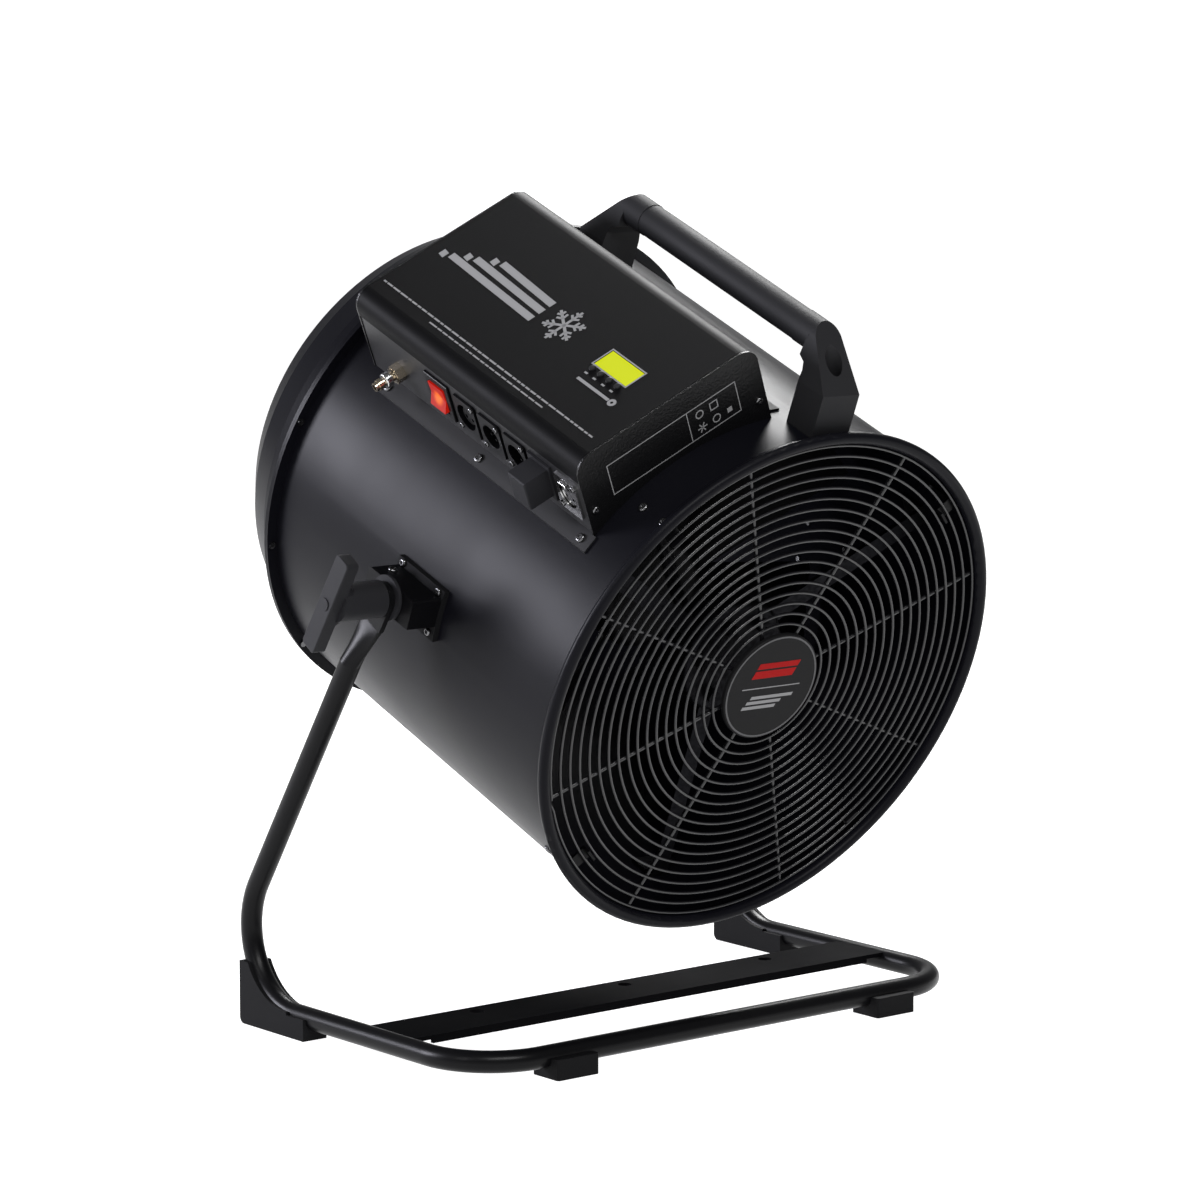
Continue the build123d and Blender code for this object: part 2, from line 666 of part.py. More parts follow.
def fluid_hose():
    """Feed tube: straight in from the box, then a bend into the spray head."""
    top, bend = BOX_TOP - 32, HOSE_BEND_R
    drop = Line((0, HOSE_STATION, top), (0, HOSE_STATION, bend))
    corner = ThreePointArc(
        (0, HOSE_STATION, bend),
        (0, HOSE_STATION - bend * (1 - math.sqrt(0.5)), bend * (1 - math.sqrt(0.5))),
        (0, HOSE_STATION - bend, 0),
    )
    run = Line((0, HOSE_STATION - bend, 0), (0, NOZZLE_Y[1] - 14, 0))
    return radial(BOX_ANGLE, swept(Wire([drop.edge(), corner.edge(), run.edge()]), HOSE_R))


def build_inside():
    keep("fan_motor", fan_motor(), BARREL)
    keep("motor_mount", motor_mount(), BARREL)
    keep("fan_rotor", fan_rotor(), BARREL)
    hose = fluid_hose()
    spigot = rod_y(7, NOZZLE_Y[0] + 4, NOZZLE_Y[1] - 8)
    keep("nozzle_ring", nozzle_ring() + spigot - hose, BARREL)
    keep("fluid_hose", hose, BARREL)


# ---------------------------------------------------------------- control box
SOCKET_FLANGE = (26.0, 31.0, 2.0)
SOCKET_HOLE_R = 12.0
BUTTON_Y = (90.0, 99.5, 109.5, 119.0)
BUTTON_X = -11.0
BUTTON_R = 2.6
WINDOW_X = (-7.0, 10.0)
WINDOW_Y = (86.0, 123.0)
SWITCH_HALF = (11.5, 13.5)
ROCKER_PIVOT = 4.0             # behind the panel's face
ROCKER_LEAN = 7.0
ROCKER_PIN_R = 1.6
FLANGE_SCREW_R = 1.8
PANEL_SCREW_PLACES = tuple((-BOX_HALF - 6.5, y) for y in (57.5, 180.0, 295.0))
COVER_SCREW_PLACES = tuple((BOX_HALF + 7.0, y) for y in (70.0, 248.0))
FLANGE_SCREW_PLACES = PANEL_SCREW_PLACES + COVER_SCREW_PLACES


def barrel_plug(radius):
    return rod_y(radius, -10, 500)


def flange_angle(x):
    return math.degrees(math.asin(-x / SHELL_R))


def flange_hole(x, y):
    return radial(flange_angle(x), rod_z(FLANGE_SCREW_R, 170, 210, 0, y))


def box_section(inset, y0, y1):
    """The lid's outline, rounded along both upper edges, down to the barrel."""
    half = BOX_HALF + 0.7 - inset
    body = block((-half, half), (y0, y1), (100, BOX_TOP - inset))
    corners = body.edges().filter_by(Axis.Y).group_by(Axis.Z)[-1]
    return fillet(corners, BOX_CORNER_R - inset)


def side_flange(side, y0, y1):
    """Strip that lies along the barrel beside the box."""
    half = BOX_HALF + 0.7
    x = (half - 2.5, half + FLANGE_REACH)
    strip = pipe_y(SHELL_R + 0.1 + SHEET, SHELL_R + 0.1, y0, y1)
    return strip & block(x if side > 0 else (-x[1], -x[0]), (y0, y1), (120, 200))


def box_cover():
    y0, y1 = BOX_Y[0] + SHEET + 0.3, BOX_Y[1] - SHEET - 0.3
    cover = box_section(0, y0, y1) - box_section(SHEET, y0 - 1, y1 + 1)
    cover -= block((-100, 0), (y0 - 1, y1 + 1), (90, PANEL_TOP))
    cover -= barrel_plug(SHELL_R + 0.1)
    for x, y in COVER_SCREW_PLACES:
        tab = side_flange(1, y - 12, y + 12) - flange_hole(x, y)
        cover += tab - block((-10, BOX_HALF - 2), (0, 400), (100, 300))
    cover -= block(WINDOW_X, WINDOW_Y, (BOX_TOP - 5, BOX_TOP + 5))
    for y in BUTTON_Y:
        cover -= rod_z(BUTTON_R + RUN_GAP, BOX_TOP - 5, BOX_TOP + 5, BUTTON_X, y)
    return max(cover.solids(), key=lambda s: s.volume)


def socket_places():
    return [SOCKET_FIRST_Y + k * SOCKET_PITCH for k in range(5)]


def connector_panel():
    y0, y1 = BOX_Y[0] + SHEET + 0.3, BOX_Y[1] - SHEET - 0.3
    x = (-BOX_HALF, -BOX_HALF + SHEET)
    panel = block(x, (y0, y1), (150, PANEL_TOP)) - barrel_plug(SHELL_R + 0.1)
    flange = side_flange(-1, BOX_Y[0] - 3, BOX_Y[1] - 16)
    flange -= block((-BOX_HALF + SHEET, 100), (0, 400), (100, 300))
    flange -= block((-BOX_HALF - 1, 100), (0, y0), (100, 300))
    for place in PANEL_SCREW_PLACES:
        flange -= flange_hole(*place)
    panel += flange
    for y in socket_places():
        panel -= rod_x(SOCKET_HOLE_R, -BOX_HALF - 20, -BOX_HALF + 20, y, SOCKET_Z)
    panel -= switch_block((-90, -60), 11, 13)
    panel -= rod_x(6.0, -90, -60, COUPLER_Y, COUPLER_Z)
    return panel - tab_slot(SOCKET_FIRST_Y, -90, -60)


def box_end(y0, y1):
    return box_section(0, y0, y1) - barrel_plug(SHELL_R + 0.1)


END_SCREWS = ((72.0, 196.1), (-72.0, 196.1))


def cap_screw(x, y, z, direction):
    """Small domed screw in a box end, head towards the direction along Y."""
    screw = screw_z(0, 0, 0, head_r=2.9, head=1.7, shank_r=1.45, shank=SHEET + 4)
    return Pos(x, y, z) * Rot(90 if direction < 0 else -90, 0, 0) * screw


def box_screws():
    screws = [cap_screw(x, BOX_Y[0], z, -1) for x, z in END_SCREWS]
    screws += [cap_screw(x, BOX_Y[1], z, 1) for x, z in END_SCREWS]
    for x, y in FLANGE_SCREW_PLACES:
        screw = screw_z(0, y, SHELL_R + 0.1 + SHEET, shank=3.1, shank_r=FLANGE_SCREW_R)
        screws.append(radial(flange_angle(x), screw))
    return screws


def control_board():
    board = block((-34, 34), (70, 190), (226, 227.6))
    board += block((WINDOW_X[0] - 1, WINDOW_X[1] + 1), (WINDOW_Y[0] - 2, WINDOW_Y[1] + 2), (227.6, 236))
    board += block((14, 30), (140, 170), (227.6, 234)) + block((-28, -12), (140, 176), (227.6, 231))
    for y in BUTTON_Y:
        board += block((BUTTON_X - 3, BUTTON_X + 3), (y - 3, y + 3), (227.6, 232))
    for x in (-30, 30):
        for y in (74, 186):
            board += rod_z(2.5, 227.6, BOX_TOP - SHEET, x, y)
    return board


def display_window():
    x = (WINDOW_X[0] + 0.1, WINDOW_X[1] - 0.1)
    y = (WINDOW_Y[0] + 0.1, WINDOW_Y[1] - 0.1)
    return block(x, y, (236.0, BOX_TOP - 0.4))


def menu_button(y):
    button = rod_z(BUTTON_R, BOX_TOP - 5.5, BOX_TOP + 1.4, BUTTON_X, y)
    button = fillet(button.edges().group_by(Axis.Z)[-1], 0.8)
    return button + rod_z(BUTTON_R + 1.2, BOX_TOP - 6.5, BOX_TOP - 4.5, BUTTON_X, y)


def socket_body(y, inset_r, depth):
    """Panel socket with the common 26 by 31 flange."""
    w, h, t = SOCKET_FLANGE
    x0 = -BOX_HALF
    flange = block((x0 - t, x0), (y - w / 2, y + w / 2), (SOCKET_Z - h / 2, SOCKET_Z + h / 2))
    flange = fillet(flange.edges().filter_by(Axis.X), 2.5)
    body = flange + rod_x(SOCKET_HOLE_R - 0.2, x0 - 1, x0 + 18, y, SOCKET_Z)
    body -= rod_x(inset_r, x0 - t - 1, x0 - t + depth, y, SOCKET_Z)
    return body


def data_socket(y, pins):
    """Round socket with contact pins standing in its cup."""
    body = socket_body(y, 9.6, 13)
    x0 = -BOX_HALF
    for k in range(pins):
        a = math.radians(45 + 270 / max(pins - 1, 1) * k)
        py, pz = y + 5.2 * math.sin(a), SOCKET_Z + 5.2 * math.cos(a)
        body += rod_x(1.1, x0 + 1, x0 + 12, py, pz)
    return body


def power_inlet(y):
    body = socket_body(y, 10.6, 14)
    x0 = -BOX_HALF
    core = rod_x(7.4, x0 + 0.5, x0 + 13, y, SOCKET_Z)
    for a in (90, 210, 330):
        c = math.radians(a)
        core -= rod_x(1.6, x0, x0 + 9, y + 4.4 * math.cos(c), SOCKET_Z + 4.4 * math.sin(c))
    return body + core


def remote_socket(y):
    """Metal three-way socket; its release tab slides in a slot above it."""
    x0 = -BOX_HALF
    body = socket_body(y, 9.9, 12)
    insert = rod_x(8.6, x0 - 0.5, x0 + 11, y, SOCKET_Z)
    for a in (90, 210, 330):
        c = math.radians(a)
        insert -= rod_x(1.4, x0 - 2, x0 + 8, y + 4.6 * math.cos(c), SOCKET_Z + 4.6 * math.sin(c))
    body += insert
    return body - tab_slot(y, x0 - 3, x0 + 5)


def tab_slot(y, x0, x1):
    return block((x0, x1), (y - 4.2, y + 4.2), (SOCKET_Z + 9.0, SOCKET_Z + 13.4))


def release_tab(y):
    x0 = -BOX_HALF
    tab = block((x0 - 4.4, x0 + 2.0), (y - 3.9, y + 3.9), (SOCKET_Z + 10.2, SOCKET_Z + 13.0))
    return fillet(tab.edges().group_by(Axis.X)[0], 0.8)


def receiver_module(y):
    """Plug-in wireless receiver, standing out of its socket's place."""
    x0 = -BOX_HALF
    plug = rod_x(SOCKET_HOLE_R - 0.2, x0 - 1, x0 + 12, y, SOCKET_Z)
    base = block((x0 - 2, x0), (y - 13, y + 13), (SOCKET_Z - 15.5, SOCKET_Z + 15.5))
    case = block((x0 - 22, x0 - 2), (y - 10, y + 10), (SOCKET_Z - 12, SOCKET_Z + 12))
    case = fillet(case.edges().group_by(Axis.X)[0], 1.5)
    return plug + base + case


def switch_body():
    x0 = -BOX_HALF
    hy, hz = SWITCH_HALF
    y, z = (SWITCH_Y - hy - 3, SWITCH_Y + hy + 3), (SOCKET_Z - hz - 3, SOCKET_Z + hz + 3)
    bezel = block((x0 - 2.2, x0), y, z)
    bezel = fillet(bezel.edges().group_by(Axis.X)[0], 1.0)
    case = switch_block((x0 - 0.1, x0 + 24), 10.8, 12.8)
    body = bezel + case - switch_block((x0 - 5, x0 + 13), 9.6, 11.6)
    return body - rocker_pin(ROCKER_PIN_R + RUN_GAP, 10.4)


def rocker_pin(radius, reach):
    return rod_y(radius, SWITCH_Y - reach, SWITCH_Y + reach, ROCKER_PIVOT - BOX_HALF, SOCKET_Z)


def switch_block(x, half_y, half_z):
    y = (SWITCH_Y - half_y, SWITCH_Y + half_y)
    return block(x, y, (SOCKET_Z - half_z, SOCKET_Z + half_z))


def switch_rocker():
    """Illuminated rocker, pressed in at its upper end, where the switch is on."""
    x0 = -BOX_HALF
    outline = [(-2.6, 0), (-4.6, 9.9), (3.0, 9.0), (7.5, 3.0), (7.5, -3.0), (3.0, -9.0), (-4.6, -9.9)]
    face = make_face(Polyline(*[(x, 0, z) for x, z in outline], close=True))
    rocker = extrude(face, amount=9.2, both=True)
    turn = Rot(0, ROCKER_LEAN, 0) * Pos(-ROCKER_PIVOT, 0, 0)
    rocker = Pos(x0 + ROCKER_PIVOT, SWITCH_Y, SOCKET_Z) * turn * rocker
    return rocker + rocker_pin(ROCKER_PIN_R, 10.1)


def coupler_body():
    """Quick coupler for the fluid line: a hexagon, a neck and a plug nipple."""
    x0 = -BOX_HALF
    face = Plane(origin=(x0 - 7, COUPLER_Y, COUPLER_Z), x_dir=(0, 1, 0), z_dir=(1, 0, 0))
    hexagon = extrude(face * RegularPolygon(7.4, 6), amount=7)
    body = hexagon + rod_x(5.8, x0 - 8, x0 + 16, COUPLER_Y, COUPLER_Z)
    body += rod_x(NIPPLE_R, x0 - 24, x0 - 7, COUPLER_Y, COUPLER_Z)
    body += rod_x(NIPPLE_R + 0.8, x0 - 21, x0 - 18, COUPLER_Y, COUPLER_Z)
    return body - rod_x(2.2, x0 - 25, x0 + 17, COUPLER_Y, COUPLER_Z)


def coupler_sleeve():
    x0 = -BOX_HALF
    sleeve = rod_x(6.0, x0 - 15.5, x0 - 10.8, COUPLER_Y, COUPLER_Z)
    sleeve = fillet(sleeve.edges().group_by(Axis.X)[0], 1.0)
    return sleeve - rod_x(NIPPLE_R + RUN_GAP, x0 - 30, x0, COUPLER_Y, COUPLER_Z)


def socket_screws():
    screws = []
    for k, y in enumerate(socket_places()):
        if k == 1:
            continue
        for sy, sz in ((-1, 1), (1, -1)):
            seat = (-BOX_HALF - SOCKET_FLANGE[2], y + sy * 9.6, SOCKET_Z + sz * 12.2)
            screws.append(screw_x(*seat, -1, head_r=2.4, head=1.3, shank_r=1.2, shank=5.5))
    return screws


def cut_screw_holes(shape, y):
    for sy, sz in ((-1, 1), (1, -1)):
        shape -= rod_x(1.2, -BOX_HALF - 10, -BOX_HALF + 5, y + sy * 9.6, SOCKET_Z + sz * 12.2)
    return shape


def fluid_pump():
    """Pump block with its round motor, on a foot that fits the barrel."""
    x = (-50, -12)
    pump = block(x, (232, 292), (201, 235)) + rod_y(17, 200, 234, sum(x) / 2, 218)
    pump = fillet(pump.edges().filter_by(Axis.Y).group_by(Axis.Z)[-1], 3)
    return pump + (block(x, (240, 284), (180, 202)) - barrel_plug(SHELL_R))


def power_supply():
    case = block((6, 66), (196, 306), (200, 236))
    case = fillet(case.edges().filter_by(Axis.Y).group_by(Axis.Z)[-1], 2)
    return case + (block((6, 66), (204, 298), (170, 201)) - barrel_plug(SHELL_R))


def build_box():
    panel = connector_panel()
    for k, y in enumerate(socket_places()):
        if k != 1:
            panel = cut_screw_holes(panel, y)
    cover = box_cover()
    keep("box_cover", cover, BOX)
    front = box_end(BOX_Y[0], BOX_Y[0] + SHEET)
    rear = box_end(BOX_Y[1] - SHEET, BOX_Y[1])
    for x, z in END_SCREWS:
        front -= rod_y(1.45, 0, 100, x, z)
        rear -= rod_y(1.45, 300, 400, x, z)
    keep("box_end_front", front, BOX)
    keep("box_end_rear", rear, BOX)
    keep_group("box_screws", box_screws(), BOX)
    keep("control_board", control_board(), BOX)
    keep("display_window", display_window(), BOX)
    for k, y in enumerate(BUTTON_Y):
        keep("menu_button_%d" % (k + 1), menu_button(y), BOX)
    sockets = socket_places()
    keep("remote_socket", cut_screw_holes(remote_socket(sockets[0]), sockets[0]), BOX)
    keep("release_tab", release_tab(sockets[0]), BOX)
    keep("receiver_module", receiver_module(sockets[1]), BOX)
    keep("data_socket_out", cut_screw_holes(data_socket(sockets[2], 3), sockets[2]), BOX)
    keep("data_socket_in", cut_screw_holes(data_socket(sockets[3], 5), sockets[3]), BOX)
    keep("power_inlet", cut_screw_holes(power_inlet(sockets[4]), sockets[4]), BOX)
    keep_group("socket_screws", socket_screws(), BOX)
    keep("switch_body", switch_body(), BOX)
    keep("switch_rocker", switch_rocker(), BOX)
    keep("coupler_body", coupler_body(), BOX)
    keep("coupler_sleeve", coupler_sleeve(), BOX)
    keep("fluid_pump", fluid_pump(), BOX)
    keep("power_supply", power_supply(), BOX)
    keep("connector_panel", panel, BOX)


# ---------------------------------------------------------------- handle
def post_profile():
    """Side outline of the front post, (y, z), from its base to the bar."""
    return [
        (POST_FRONT_Y, 180.0),
        (POST_FRONT_Y, POST_CREASE_Z),
        (42.0, 256.0),
        (49.3, BAR_Z + BAR_R),
        (BAR_Y[0], BAR_Z + BAR_R),
        (BAR_Y[0], BAR_Z - BAR_R),
        (ELBOW_Y, BAR_Z - BAR_R),
        (44.0, 236.5),
        (POST_REAR_Y, 231.0),
        (POST_REAR_Y, 180.0),
    ]


def post_taper():
    """Straight below the crease, then narrowing to the bar's width."""
    crease = Plane.XY.offset(POST_CREASE_Z) * Rectangle(2 * POST_HALF, 200)
    top = Plane.XY.offset(BAR_Z + BAR_R) * Rectangle(2 * BAR_R - 4, 200)
    half = (-POST_HALF, POST_HALF)
    return loft([crease, top]) + block(half, (-100, 100), (150, POST_CREASE_Z))


def handle_post():
    outline = Polyline(*[(0, y, z) for y, z in post_profile()], close=True)
    solid = extrude(make_face(outline), amount=POST_HALF, both=True) & post_taper()
    elbow = block((-30, 30), (ELBOW_Y, 90), (150, 300)) + block((-30, 30), (0, 90), (BAR_Z, 300))
    solid = (solid - elbow) + (solid & elbow & rod_y(BAR_R, 0, 90, 0, BAR_Z))
    solid += rod_y(BAR_R, ELBOW_Y - 1, BAR_Y[0], 0, BAR_Z)
    solid -= rod_y(SHELL_R + 0.1, -10, 100)
    solid -= rod_z(RECESS_R, HANDLE_SCREW_SEAT, 300, 0, HANDLE_SCREW_Y)
    solid -= rod_z(HANDLE_SCREW_R, 150, 300, 0, HANDLE_SCREW_Y)
    return max(solid.solids(), key=lambda s: s.volume)


def handle_screw_stations():
    return (HANDLE_SCREW_Y, sum(BAR_Y) - HANDLE_SCREW_Y)


def handle_screws():
    size = {"head_r": 5.0, "head": 4.0, "shank_r": HANDLE_SCREW_R, "shank": 17.0}
    return [screw_z(0, y, HANDLE_SCREW_SEAT, **size) for y in handle_screw_stations()]


def build_handle():
    front = handle_post()
    keep("handle_post_front", front, BARREL)
    rear = Pos(0, sum(BAR_Y), 0) * mirror(front, about=Plane.XZ)
    keep("handle_post_rear", rear, BARREL)
    keep_group("handle_screws", handle_screws(), BARREL)
    keep("handle_bar", rod_y(BAR_R - 0.4, BAR_Y[0], BAR_Y[1], 0, BAR_Z), BARREL)


# ---------------------------------------------------------------- everything
def main():
    build_stand()
    build_pivots()
    build_barrel()
    build_inside()
    build_box()
    build_handle()
    for name, shape in NODES.items():
        export_step(shape, "parts/%s.step" % name)
    print(len(NODES), "nodes")


main()
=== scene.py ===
"""Fan-driven snow machine: finishes, printed marks, studio and camera."""

import json
import math
import random

import bpy
from mathutils import Matrix, Vector


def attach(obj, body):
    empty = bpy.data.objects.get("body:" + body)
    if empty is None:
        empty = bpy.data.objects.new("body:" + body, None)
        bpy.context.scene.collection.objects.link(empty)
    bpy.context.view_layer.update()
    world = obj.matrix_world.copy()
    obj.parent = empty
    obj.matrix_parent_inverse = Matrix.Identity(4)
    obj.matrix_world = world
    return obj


# Lengths are in mm, like the CAD's, unless a name or comment says metres.
MM = 0.001

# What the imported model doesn't state
FAN_STATION = 160.0            # the fan's place behind the barrel's front rim
PANEL_WALL = 1.5
BORE_LIMIT = 191.2             # between the shell's bore and its outside
# Near-black sheets behind the cooling slots are painted shade inside the barrel
SHADE_SHEET_R = 189.6               # just inside the bore
VENT_STATIONS = (206.0, 230.0, 264.0)
VENT_ANGLE = 141.0             # from the top of the barrel, on both sides
SHADE_SHEET_HALF_ANGLE = 4
SHADE_SHEET_HALF_LENGTH = 5

# Printed marks
PRINT = 0.12                   # thickness of the ink
PRINT_SINK = 0.02              # how far the ink starts below the face
DASH_LENGTHS = (3.0, 9.0)
LID_SEED = 4
PANEL_SEED = 9
FRAME_GAP = 1.3                # printed frame round the display window
FRAME_LINE = 1.1
WINDOW_FIT = 0.1
LID_LINES = ((-54.6, -53.2, 62, 316), (-59.4, -58.2, 114, 254))
SCALE_LINE = (-24.8, -22.4, 84, 120)
SCALE_RING = (-23.6, 80, 1.2, 3.4)
BUTTON_TICK = (-17.5, -16.0)
BUTTON_TICK_HALF = 1.6
STRIPE_X = -11
STRIPE_PITCH = 9.5
STRIPE_WIDTH = 6.0
STRIPE_START = 196
STRIPE_ENDS = (300, 282, 262)
STRIPE_TIP = (3, 9)            # a short block past each stripe's end
FLAKE = (3, 172, 17, 2.2)      # centre, radius and line width
FLAKE_TWIGS = ((0.45, 0.30), (0.72, 0.22))
TWIG_ANGLE = 55
CAP_FRAME = (-55.6, 57.0, 198.0, 225.0, 0.7)
CAP_DIVIDER = (13.6, 14.3, 198.7, 224.3)
CAP_RINGS = ((24, 217), (36.5, 205))
CAP_RING = (2.6, 3.5)
CAP_SQUARE = (33, 40, 213.5, 220.5, 0.8)
CAP_STAR = (24, 205, -4, 4, 0.9)
CAP_DOT = (46, 50, 203, 207)
PANEL_LINE = (183.6, 184.9)
PANEL_LABELS = ((178, 198), (147, 162), (118, 140), (212, 238))
BADGE_RING = (39.3, 40.6)
BADGE_RED = ((-21, 17, 8, 14, 2.5), (-18, 20, 15.5, 20, 1.8))
BADGE_RULE = (-27, 27, -0.4, 0.4)
BADGE_BARS = ((-20, 12, -13, -10.5, 1), (-17, 22, -9, -6.5, 1), (-23, 8, -17, -14.5, 1))

# Finishes: a black's grey level and blue are its base colour
COATS = {
    # finish: level, blue, roughness, specular, grain per metre, grain depth, bump, spread of gloss
    "stand_paint": (0.003, 0.0035, 0.32, 0.12, 1100, 0.06, 0.3, 0.05),
    "strap_paint": (0.0025, 0.003, 0.60, 0.015, 1100, 0.06, 0.3, 0.05),
    "foot_rubber": (0.004, 0.0046, 0.70, 0.10, 1500, 0.10, 0.5, 0.05),
    "bracket_paint": (0.002, 0.0025, 0.38, 0.09, 1600, 0.06, 0.4, 0.05),
    "grip_plastic": (0.012, 0.014, 0.58, 0.16, 2600, 0.07, 0.5, 0.05),
    "badge": (0.0075, 0.008, 0.45, 0.06, 2400, 0.03, 0.3, 0.05),
    "wire_black": (0.006, 0.007, 0.22, 0.50, 900, 0.02, 0.2, 0.05),
    "fan_plastic": (0.002, 0.0024, 0.40, 0.06, 1500, 0.05, 0.3, 0.05),
    "box_paint": (0.0030, 0.0034, 0.50, 0.045, 2300, 0.04, 0.35, 0.03),
    "panel_paint": (0.010, 0.011, 0.42, 0.22, 1900, 0.05, 0.4, 0.05),
    "button_plastic": (0.008, 0.0085, 0.45, 0.15, 2600, 0.03, 0.3, 0.05),
    "socket_plastic": (0.002, 0.0025, 0.30, 0.16, 2600, 0.04, 0.4, 0.05),
    "handle_plastic": (0.012, 0.0135, 0.62, 0.16, 2800, 0.07, 0.5, 0.05),
    "barrel_paint": (0.0032, 0.0048, 0.38, 0.075, 1500, 0.08, 0.5, 0.03),
}
METALS = {
    # finish: colour, roughness
    "zinc_steel": ((0.40, 0.40, 0.42), 0.32),
    "black_screws": ((0.16, 0.16, 0.165), 0.24),
    # near-black metal, far darker than cast metal: painted shade on the motor inside the barrel
    "cast_motor": ((0.012, 0.012, 0.014), 0.5),
    "chrome_metal": ((0.60, 0.60, 0.60), 0.16),
    "brass_fitting": ((0.58, 0.51, 0.40), 0.20),
}
PLAINS = {
    # finish: colour, roughness, specular
    "hose_plastic": ((0.004, 0.004, 0.005), 0.35, 0.15),
    "circuit_board": ((0.02, 0.12, 0.05), 0.4, 0.5),
    "ink_grey": ((0.20, 0.20, 0.205), 0.55, 0.1),
    "ink_dim": ((0.08, 0.08, 0.083), 0.55, 0.1),
    "ink_red": ((0.26, 0.004, 0.004), 0.45, 0.05),
    # near-black, nearly glossless sheets behind the cooling slots: painted shade
    "vent_shade_black": ((0.002, 0.002, 0.002), 0.8, 0.02),
    # the barrel paint's colour with almost no gloss, for the bore: painted shade inside the barrel
    "bore_painted_shade": ((0.0032, 0.0032, 0.0048), 0.5, 0.01),
}
WRINKLE_COLOR = (0.0030, 0.0030, 0.0034)
WRINKLE_CELLS = 620            # per metre
WRINKLE_NOISE = 900
WRINKLE_DEPTH = 0.30
GLOSS_PATCHES = 9              # per metre
METAL_SMEARS = 300
METAL_SCRATCHES = 2200
SCRATCH_DEPTH = 0.02
LAMP_PROUD = 1.3               # the rocker's lamp in front of the switch body's frame
LAMP_REACH = (7.5, 1.5)        # the glow's edge and its full-strength middle
LAMP_EDGE = (0.95, 0.02, 0.008, 1)
LAMP_MIDDLE = (2.6, 0.55, 0.06, 1)

# Studio and camera, in metres unless marked
WHITE = (1, 1, 1)
WORLD_LIGHT = 0.16
FLOOR_SIZE = 40
BACKDROP_AT = (7.5, 9.2, 0.45)
BACKDROP_SIZE = (9.0, 0.96)
AIM = (0, 0, 0.3)
LIGHTS = {
    # light: place, size, watts, colour
    "side_box": ((-2.1, 1.7, 1.05), (1.0, 0.9), 95, (0.90, 0.90, 1.0)),
    "top_box": ((1.4, 1.3, 2.3), (1.2, 1.2), 130, WHITE),
    "front_box": ((-0.9, -2.4, 2.4), (2.2, 0.3), 75, WHITE),
    "left_strip": ((-2.4, -0.6, 1.5), (0.25, 1.0), 9, WHITE),
}
CAMERA_AT = (-2066.4, -2524.3, 758.7)      # mm
VIEW_TURN = -39.27
VIEW_FALL = 7.87
VIEW_ROLL = 0.08
LENS = 133.3
SENSOR = 36.0

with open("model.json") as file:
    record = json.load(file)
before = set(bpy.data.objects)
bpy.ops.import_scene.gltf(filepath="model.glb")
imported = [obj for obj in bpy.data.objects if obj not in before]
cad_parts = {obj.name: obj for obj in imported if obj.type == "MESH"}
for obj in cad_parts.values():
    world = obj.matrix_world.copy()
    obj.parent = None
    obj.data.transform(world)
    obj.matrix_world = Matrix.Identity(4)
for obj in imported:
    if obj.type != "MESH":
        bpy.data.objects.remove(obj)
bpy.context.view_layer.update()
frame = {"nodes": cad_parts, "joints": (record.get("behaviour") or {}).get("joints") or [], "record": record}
NODES = frame["nodes"]


# ---------------------------------------------------------------- frames
def joint(name):
    return next(entry for entry in frame["joints"] if entry["name"] == name)


def facing(u, v, w):
    """Turn whose x, y and z axes are the three given directions."""
    return Matrix((u, v, w)).transposed().to_4x4()


def shift(x, y, z):
    return Matrix.Translation(Vector((x, y, z)) * MM)


def extent(node, where):
    """Lowest and highest corner of a CAD node along a frame's own axes."""
    into = where.inverted()
    points = [into @ vertex.co / MM for vertex in NODES[node].data.vertices]
    low = Vector([min(point[k] for point in points) for k in range(3)])
    high = Vector([max(point[k] for point in points) for k in range(3)])
    return low, high


def main_frames():
    """The barrel's frame, on its axis at the front rim, and the control box's, turned to its lid."""
    spin = joint("fan_spin")
    sideways = Vector((1, 0, 0))
    back = -Vector(spin["axis"])
    lid_up = -Vector(joint("button_1_press")["axis"])
    rim = Matrix.Translation(Vector(spin["pos_m"]) - FAN_STATION * MM * back)
    barrel = rim @ facing(sideways, back, sideways.cross(back))
    box = rim @ facing(back.cross(lid_up), back, lid_up)
    return barrel, box


def face_frames():
    """Frames on the lid, the box's front end, the connector panel and the badge, facing out."""
    front = facing((1, 0, 0), (0, 0, 1), (0, -1, 0))
    lid = BOX @ shift(0, 0, extent("box_cover", BOX)[1].z)
    cap = BOX @ shift(0, extent("box_end_front", BOX)[0].y, 0) @ front
    panel_x = extent("connector_panel", BOX)[1].x - PANEL_WALL
    panel = BOX @ shift(panel_x, 0, 0) @ facing((0, -1, 0), (0, 0, 1), (-1, 0, 0))
    badge = BARREL @ shift(0, extent("grille_badge", BARREL)[0].y, 0) @ front
    return lid, cap, panel, badge


BARREL, BOX = main_frames()
LID, CAP, PANEL, BADGE = face_frames()


# ---------------------------------------------------------------- materials
def principled(name, color, rough):
    mat = bpy.data.materials.new(name)
    mat.use_nodes = True
    shader = mat.node_tree.nodes["Principled BSDF"]
    shader.inputs["Base Color"].default_value = (*color, 1)
    shader.inputs["Roughness"].default_value = rough
    return mat, mat.node_tree, shader


def noise(tree, scale, detail=2.0):
    source = tree.nodes.new("ShaderNodeTexCoord")
    node = tree.nodes.new("ShaderNodeTexNoise")
    node.inputs["Scale"].default_value = scale
    node.inputs["Detail"].default_value = detail
    tree.links.new(source.outputs["Object"], node.inputs["Vector"])
    return node.outputs["Fac"]


def add_bump(tree, shader, height, strength, depth):
    bump = tree.nodes.new("ShaderNodeBump")
    bump.inputs["Strength"].default_value = strength
    bump.inputs["Distance"].default_value = depth * MM
    tree.links.new(height, bump.inputs["Height"])
    tree.links.new(bump.outputs["Normal"], shader.inputs["Normal"])


